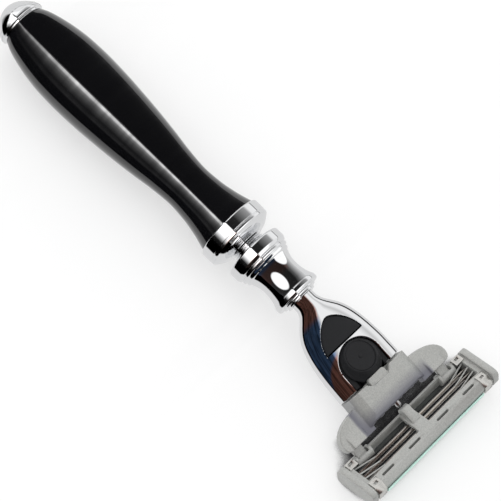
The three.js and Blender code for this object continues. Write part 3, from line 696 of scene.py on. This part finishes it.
def build_springs():
    """Coils copied from the CAD, in steel, riding on the handle in place of the CAD pieces."""
    for node, joint, u, w, keep in SPRINGS:
        obj = placed(node + "_fine", NODES[node].data.copy())
        finish_piece(obj, "steel", "handle", (node,), 60)
        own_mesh(obj)


def finish_rest():
    """Pieces that keep their CAD mesh and only take a material."""
    for part, slot in (("tie_rod", "steel"), ("insert_screw", "steel"), ("plunger", "steel"),
                       ("ejector_fork", "black_plastic")):
        node = NODES[part]
        node.data.materials.clear()
        node.data.materials.append(SLOTS[slot])


build_handle()
build_head()
build_pad()
build_button()
build_mouldings()
build_guard()
build_blades()
build_springs()
finish_rest()


# ---- studio ---------------------------------------------------------------------------
# Painted reflections of the polished pieces, as (angle, brightness). Angles run across the
# handle, in degrees from overhead towards the near side.
GRIP_REFLECTION = [(-91, 0.0), (-88, 0.18), (-72, 0.07), (-55, 0.04), (-12, 0.02), (26, 0.02),
            (29, 1.5), (31.5, 10.5), (37, 9.0), (41, 3.0), (49, 1.2), (60, 0.45), (71, 0.08),
            (86, 0.2), (91, 0.0)]
COLLAR_REFLECTION = [(-91, 0.0), (-84, 0.95), (-64, 0.9), (-54, 0.34), (-30, 0.16), (-8, 0.02),
              (20, 0.012), (25, 3.0), (34, 2.2), (56, 1.1), (68, 0.25), (74, 0.012), (90, 0.0)]
FRONT_REFLECTION = [(-91, 0.0), (-88, 0.85), (-50, 0.8), (-30, 1.3), (14, 1.3), (22, 0.01), (90, 0.01)]
REAR_REFLECTION = [(-91, 0.0), (-88, 0.85), (-30, 0.9), (-8, 1.2), (14, 1.2), (18, 0.01), (22.5, 0.01),
            (28, 2.0), (80, 1.0), (90, 0.0)]
BALUSTER_REFLECTION = [(-91, 0.5), (-88, 0.6), (-70, 0.34), (-50, 0.1), (-32, 0.012), (74, 0.02),
                (90, 0.03)]
HEAD_REFLECTION = [(-91, 0.0), (-80, 0.0), (-76, 0.9), (-60, 0.92), (-50, 0.62), (-38, 0.95),
            (-19, 0.95), (-13, 0.5), (-6, 0.02), (90, 0.022)]
# Round painted highlights in the baluster's reflection: (place along the handle, half-length,
# angle, half-angle).
BALUSTER_HIGHLIGHTS = [(0.0843, 0.0026, -56, 34), (0.0887, 0.0026, 38, 32)]


def ramp(tree, value, stops):
    """Piecewise linear brightness over a value, as a float curve."""
    low, high = stops[0][0], stops[-1][0]
    peak = max(v for _, v in stops)
    share = tree.nodes.new("ShaderNodeMapRange")
    share.inputs["From Min"].default_value = low
    share.inputs["From Max"].default_value = high
    tree.links.new(value, share.inputs["Value"])
    curve = tree.nodes.new("ShaderNodeFloatCurve")
    points = curve.mapping.curves[0].points
    for i, (at, v) in enumerate(stops):
        x = (at - low) / (high - low)
        if i < 2:
            points[i].location = (0 if i == 0 else x, v / peak)
        else:
            points.new(x, v / peak)
    for point in points:
        point.handle_type = "VECTOR"
    curve.mapping.update()
    tree.links.new(share.outputs["Result"], curve.inputs["Value"])
    scale = tree.nodes.new("ShaderNodeMath")
    scale.operation = "MULTIPLY"
    scale.inputs[1].default_value = peak
    tree.links.new(curve.outputs["Value"], scale.inputs[0])
    return scale.outputs["Value"]


def math_node(tree, operation, a, b=None):
    node = tree.nodes.new("ShaderNodeMath")
    node.operation = operation
    for socket, value in zip(node.inputs, (a, b)):
        if hasattr(value, "is_output"):
            tree.links.new(value, socket)
        elif value is not None:
            socket.default_value = value
    return node.outputs["Value"]


def mixed(tree, factor, a, b):
    node = tree.nodes.new("ShaderNodeMix")
    node.data_type = "RGBA"
    for key, value in (("Factor", factor), ("A", a), ("B", b)):
        if hasattr(value, "is_output"):
            tree.links.new(value, node.inputs[key])
        else:
            node.inputs[key].default_value = (*value, 1)
    return node.outputs["Result"]


def step_up(tree, value, a, b):
    node = tree.nodes.new("ShaderNodeMapRange")
    node.interpolation_type = "SMOOTHSTEP"
    node.inputs["From Min"].default_value = a
    node.inputs["From Max"].default_value = b
    tree.links.new(value, node.inputs["Value"])
    return node.outputs["Result"]


def angle_across(tree, vector):
    """The angle across the handle of a direction or a place, with its x."""
    split = tree.nodes.new("ShaderNodeSeparateXYZ")
    tree.links.new(vector, split.inputs["Vector"])
    x, y, z = (split.outputs[k] for k in "XYZ")
    angle = math_node(tree, "ARCTAN2", math_node(tree, "MULTIPLY", y, -1.0), z)
    return math_node(tree, "MULTIPLY", angle, 180 / math.pi), x, z


# Tints of the painted reflections: white, navy, maroon, a brown one and a warm one.
WHITE, NAVY, MAROON = (1, 1, 1), (0.55, 1.0, 1.9), (2.3, 1.0, 0.75)
REFLECTED_BROWN, WARM = (1.5, 0.9, 0.8), (1.35, 1.0, 0.88)

# Where along the handle each painted reflection starts, and how softly, in metres.
SECTIONS = [("grip", 0.00583, 1e-5), ("collar", 0.07122, 1e-5), ("baluster", 0.0831, 4e-4),
            ("collar", 0.0917, 4e-4), ("head", 0.0944, 1e-5)]
GRIP_FADE = (0.010, 0.026)  # the grip's painted highlight grows brighter between these places
REFLECTED_BROWN_FROM, REFLECTED_BROWN_TO = (0.0842, 0.0853), (0.0868, 0.0885)
NAVY_FROM, NAVY_TO, NAVY_LEAN = (0.0992, 0.1008), (0.1086, 0.1096), 0.00005
COLOUR_FROM = (-16, -2)  # the head's painted reflection takes its dark colours past these angles

LIGHT_BASE, LIGHT_ALONG, LIGHT_UP = 0.9, -0.55, 0.45
DOME_RINGS, DOME_SIDES = 100, 64
FLOOR_HALF, FLOOR_DROP = 3.0, 0.0004
FLOOR_SEEN, FLOOR_SHADED, FLOOR_GLOW, FLOOR_MIRRORED = (0.42,) * 3, (0.02, 0.02, 0.022), 0.5, 0.74
SHADE_FROM = (0.1225, 0.1205)  # the floor is shaded only past these places, under the cartridge
SHADE_REACH, SHADE_OPEN = 0.02, (0.32, 0.54)
DARK_SIDE, DARK_REACH = (-0.004, -0.012), (0.0185, 0.0205)

FOCAL, SENSOR = 2000 / 501, 36
CAMERA_PLACE = (0.142383, -0.170559, 0.403582)
CAMERA_RIGHT, CAMERA_BACK = (0.70595, 0.68566, 0.17752), (0.14409, -0.38444, 0.91184)


def build_world():
    world = bpy.data.worlds.new("studio")
    bpy.context.scene.world = world
    world.use_nodes = True
    tree = world.node_tree
    coords = tree.nodes.new("ShaderNodeTexCoord")
    _, x, z = angle_across(tree, coords.outputs["Generated"])
    lean = math_node(tree, "ADD", math_node(tree, "MULTIPLY", x, LIGHT_ALONG),
                     math_node(tree, "MULTIPLY", z, LIGHT_UP))
    background = tree.nodes["Background"]
    background.inputs["Color"].default_value = (*WHITE, 1)
    tree.links.new(math_node(tree, "ADD", lean, LIGHT_BASE), background.inputs["Strength"])


def grip_reflection(m, across, source):
    """Painted highlight: one narrow streak along the grip, uneven along its length and fading to
    the pommel.
    """
    place = m.add("ShaderNodeCombineXYZ")
    m.link(source, place.inputs["X"])
    uneven = m.remap(m.noise(330, 2, 0.6, place.outputs["Vector"]), 0.55, 1.25)
    strength = math_node(m.tree, "MULTIPLY", m.remap(source, 0.35, 1.0, *GRIP_FADE), uneven)
    return math_node(m.tree, "MULTIPLY", ramp(m.tree, across, GRIP_REFLECTION), strength)


def collar_reflection(tree, across, x):
    """Painted reflection bands across the collars, others where the surface turns to the front or
    to the rear.
    """
    painted_reflection = mixed(tree, step_up(tree, x, 0.1, 0.4), ramp(tree, across, COLLAR_REFLECTION),
                ramp(tree, across, FRONT_REFLECTION))
    painted_reflection = mixed(tree, step_up(tree, x, -0.75, -0.5), ramp(tree, across, REAR_REFLECTION), painted_reflection)
    tint = mixed(tree, step_up(tree, across, 16, 24), WHITE, WARM)
    return tinted(tree, painted_reflection, mixed(tree, step_up(tree, x, 0.1, 0.2), WHITE, tint))


def baluster_reflection(tree, across, source):
    """Painted reflection for the baluster: two oval highlights on dark, navy and brown between
    them.
    """
    painted_reflection = ramp(tree, across, BALUSTER_REFLECTION)
    for oval in BALUSTER_HIGHLIGHTS:
        painted_reflection = math_node(tree, "MAXIMUM", painted_reflection, painted_highlight(tree, source, across, *oval))
    tint = mixed(tree, step_up(tree, source, *REFLECTED_BROWN_FROM), NAVY, REFLECTED_BROWN)
    tint = mixed(tree, step_up(tree, painted_reflection, 0.03, 0.2), tint, WHITE)
    tint = mixed(tree, step_up(tree, source, *REFLECTED_BROWN_TO), tint, WHITE)
    return tinted(tree, painted_reflection, tint)


def head_reflection(m, across, source, direction):
    """Painted reflection for the head: a white upper side, and a streaked dark near side that is
    maroon, navy, then maroon.
    """
    tree = m.tree
    slant = math_node(tree, "SUBTRACT", source, math_node(tree, "MULTIPLY", across, NAVY_LEAN))
    tint = mixed(tree, step_up(tree, source, *NAVY_FROM), MAROON, NAVY)
    tint = mixed(tree, step_up(tree, slant, *NAVY_TO), tint, MAROON)
    tint = tinted(tree, m.remap(m.noise(9, 2, 0.6, direction), 0.35, 1.7, 0.35, 0.65), tint)
    tint = mixed(tree, step_up(tree, across, *COLOUR_FROM), WHITE, tint)
    return tinted(tree, ramp(tree, across, HEAD_REFLECTION), tint)


def build_dome():
    """A glowing dome seen only in reflections: it paints the reflections of the polished pieces.
    What it shows depends on the direction, and on how far along the razor the reflecting point is,
    so each part gets its own painted reflection."""
    heights = [-1 + 2 / DOME_RINGS * i for i in range(DOME_RINGS + 1)]
    verts, faces = turned([(h, math.sqrt(max(0, 1 - h**2))) for h in heights], DOME_SIDES)
    mesh = bpy.data.meshes.new("reflection_dome")
    mesh.from_pydata(verts, [], faces)
    dome = placed("reflection_dome", mesh)
    m = Nodes("reflection_dome")
    m.tree.nodes.remove(m.shader)
    geometry = m.add("ShaderNodeNewGeometry")
    away = m.add("ShaderNodeVectorMath", operation="SCALE")
    away.inputs["Scale"].default_value = -1.0
    m.link(geometry.outputs["Incoming"], away.inputs[0])
    across, x, _ = angle_across(m.tree, away.outputs["Vector"])
    length = m.add("ShaderNodeLightPath").outputs["Ray Length"]
    source = math_node(m.tree, "SUBTRACT", m.split(geometry.outputs["Position"])["X"],
                       math_node(m.tree, "MULTIPLY", x, length))
    painted_reflections = {"grip": grip_reflection(m, across, source), "collar": collar_reflection(m.tree, across, x),
             "baluster": baluster_reflection(m.tree, across, source),
             "head": head_reflection(m, across, source, away.outputs["Vector"])}
    painted_reflection = painted_reflections["collar"]
    for name, start, blend in SECTIONS:
        painted_reflection = mixed(m.tree, step_up(m.tree, source, start, start + blend), painted_reflection, painted_reflections[name])
    glow = m.add("ShaderNodeEmission")
    m.link(painted_reflection, glow.inputs["Color"])
    m.link(glow.outputs["Emission"], m.tree.nodes["Material Output"].inputs["Surface"])
    mesh.materials.append(m.material)
    for ray in ("camera", "diffuse", "shadow", "transmission", "volume_scatter"):
        setattr(dome, "visible_" + ray, False)


def painted_highlight(tree, source, across, at, half, angle, spread):
    """Brightness of a painted soft-edged highlight, oval in place and angle."""
    a = math_node(tree, "DIVIDE", math_node(tree, "SUBTRACT", source, at), half)
    b = math_node(tree, "DIVIDE", math_node(tree, "SUBTRACT", across, angle), spread)
    reach = math_node(tree, "ADD", math_node(tree, "MULTIPLY", a, a),
                      math_node(tree, "MULTIPLY", b, b))
    return math_node(tree, "MULTIPLY", step_up(tree, reach, 1.1, 0.75), 1.15)


def tinted(tree, value, tint):
    node = tree.nodes.new("ShaderNodeVectorMath")
    node.operation = "MULTIPLY"
    tree.links.new(value, node.inputs[0])
    tree.links.new(tint, node.inputs[1])
    return node.outputs["Vector"]


def build_floor():
    """Pale paper, shaded where the cartridge stands close over it. Polished pieces mirror it as
    an even grey, dark on the near side away from where they stand."""
    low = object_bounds()[0][2] - FLOOR_DROP
    mesh = bpy.data.meshes.new("floor")
    mesh.from_pydata([(x * FLOOR_HALF, y * FLOOR_HALF, low)
                      for x, y in ((-1, -1), (1, -1), (1, 1), (-1, 1))], [], [(0, 1, 2, 3)])
    floor = placed("floor", mesh)
    m = Nodes("floor_paper")
    paper = m.mix(m.noise(30, 3), (0.9, 0.9, 0.9), (0.93, 0.93, 0.93))
    path = m.add("ShaderNodeLightPath")
    seen = path.outputs["Is Camera Ray"]
    place = m.split(m.add("ShaderNodeNewGeometry").outputs["Position"])
    overhead = m.add("ShaderNodeAmbientOcclusion", samples=16)
    overhead.inputs["Distance"].default_value = SHADE_REACH
    clear = math_node(m.tree, "MAXIMUM", m.remap(overhead.outputs["AO"], 0.0, 1.0, *SHADE_OPEN),
                      step_up(m.tree, place["X"], *SHADE_FROM))
    glow = math_node(m.tree, "MULTIPLY", seen, math_node(m.tree, "MULTIPLY", clear, FLOOR_GLOW))
    m.set(Base_Color=m.mix(seen, paper, m.mix(clear, FLOOR_SHADED, FLOOR_SEEN)), Roughness=0.9,
          Emission_Color=(*WHITE, 1), Emission_Strength=glow)
    dark = math_node(m.tree, "MULTIPLY",
                     m.remap(path.outputs["Ray Length"], 0.0, 1.0, *DARK_REACH),
                     step_up(m.tree, place["Y"], *DARK_SIDE))
    mirror = m.add("ShaderNodeEmission")
    m.link(m.remap(dark, FLOOR_MIRRORED, 0.0, 0.0, 1.0), mirror.inputs["Strength"])
    mix = m.add("ShaderNodeMixShader")
    m.link(path.outputs["Is Glossy Ray"], mix.inputs["Fac"])
    m.link(m.shader.outputs["BSDF"], mix.inputs[1])
    m.link(mirror.outputs["Emission"], mix.inputs[2])
    m.link(mix.outputs["Shader"], m.tree.nodes["Material Output"].inputs["Surface"])
    mesh.materials.append(m.material)


def build_camera():
    data = bpy.data.cameras.new("camera")
    data.sensor_width = SENSOR
    data.lens = FOCAL * SENSOR
    data.clip_start = 0.01
    camera = placed("camera", data)
    right, back = Vector(CAMERA_RIGHT).normalized(), Vector(CAMERA_BACK).normalized()
    m = Matrix((right, back.cross(right).normalized(), back)).transposed().to_4x4()
    m.translation = CAMERA_PLACE
    camera.matrix_world = m
    bpy.context.scene.camera = camera


build_world()
build_floor()
build_dome()
build_camera()
bpy.context.scene.view_settings.view_transform = "Standard"
